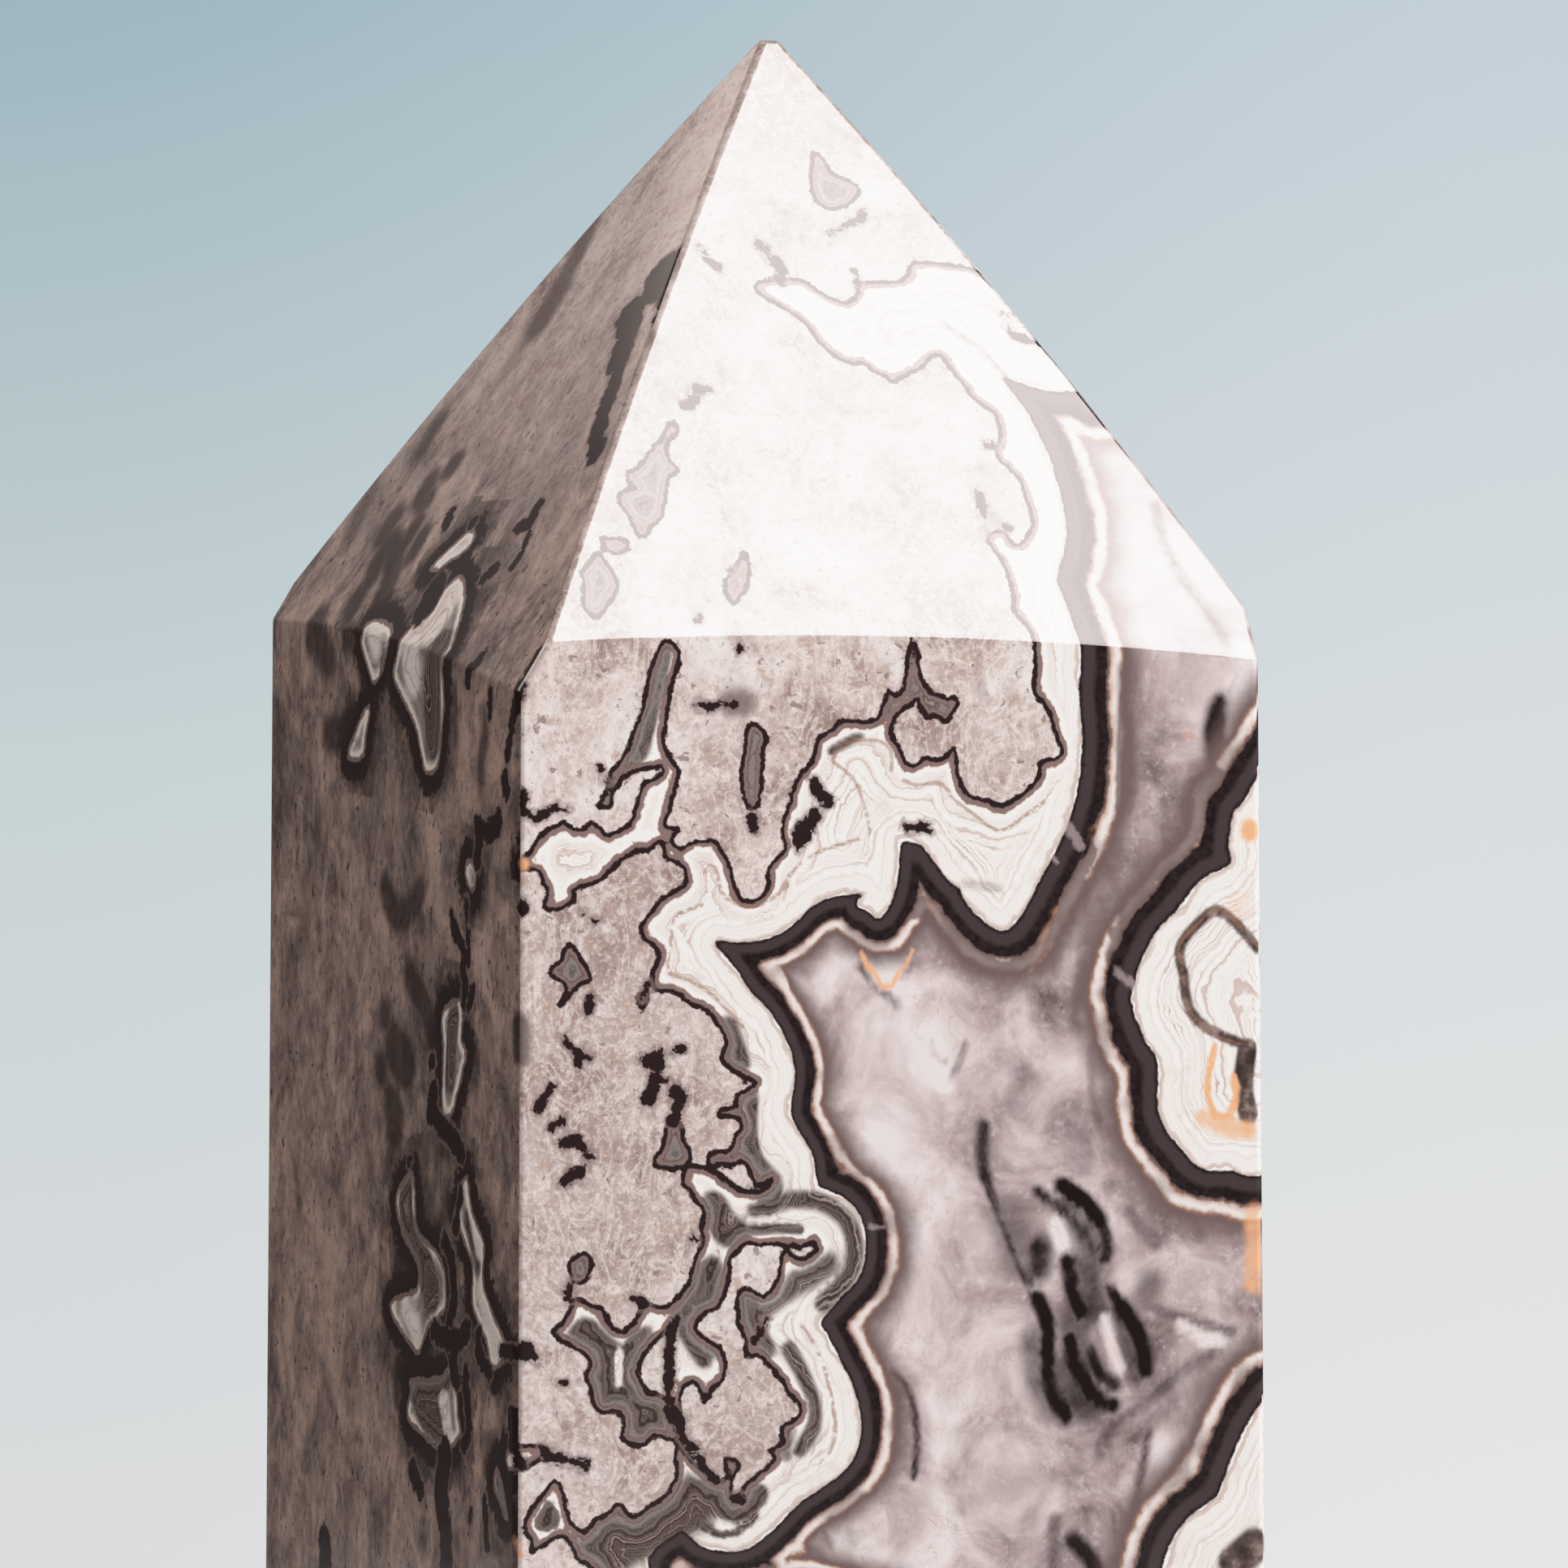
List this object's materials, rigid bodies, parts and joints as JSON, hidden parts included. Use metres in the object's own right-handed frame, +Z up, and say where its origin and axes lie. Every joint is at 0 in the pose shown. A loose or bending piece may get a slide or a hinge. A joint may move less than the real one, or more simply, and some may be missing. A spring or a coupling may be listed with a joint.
{
  "type": "picasso jasper tower",
  "caption": "Polished jasper tower: a square-sided stone column with slightly leaning sides, a faceted point and a flat foot to stand on.",
  "frame": {"origin": "centre of the flat foot the tower stands on", "axes": "+Z up along the tower to its point, -Y out of the widest side in the picture, +X to that side's right"},
  "size_m": [0.0308, 0.0308, 0.0946],
  "materials": {
    "jasper": "polished"
  },
  "bodies": {
    "root": {"tower": "jasper"}
  },
  "joints": []
}
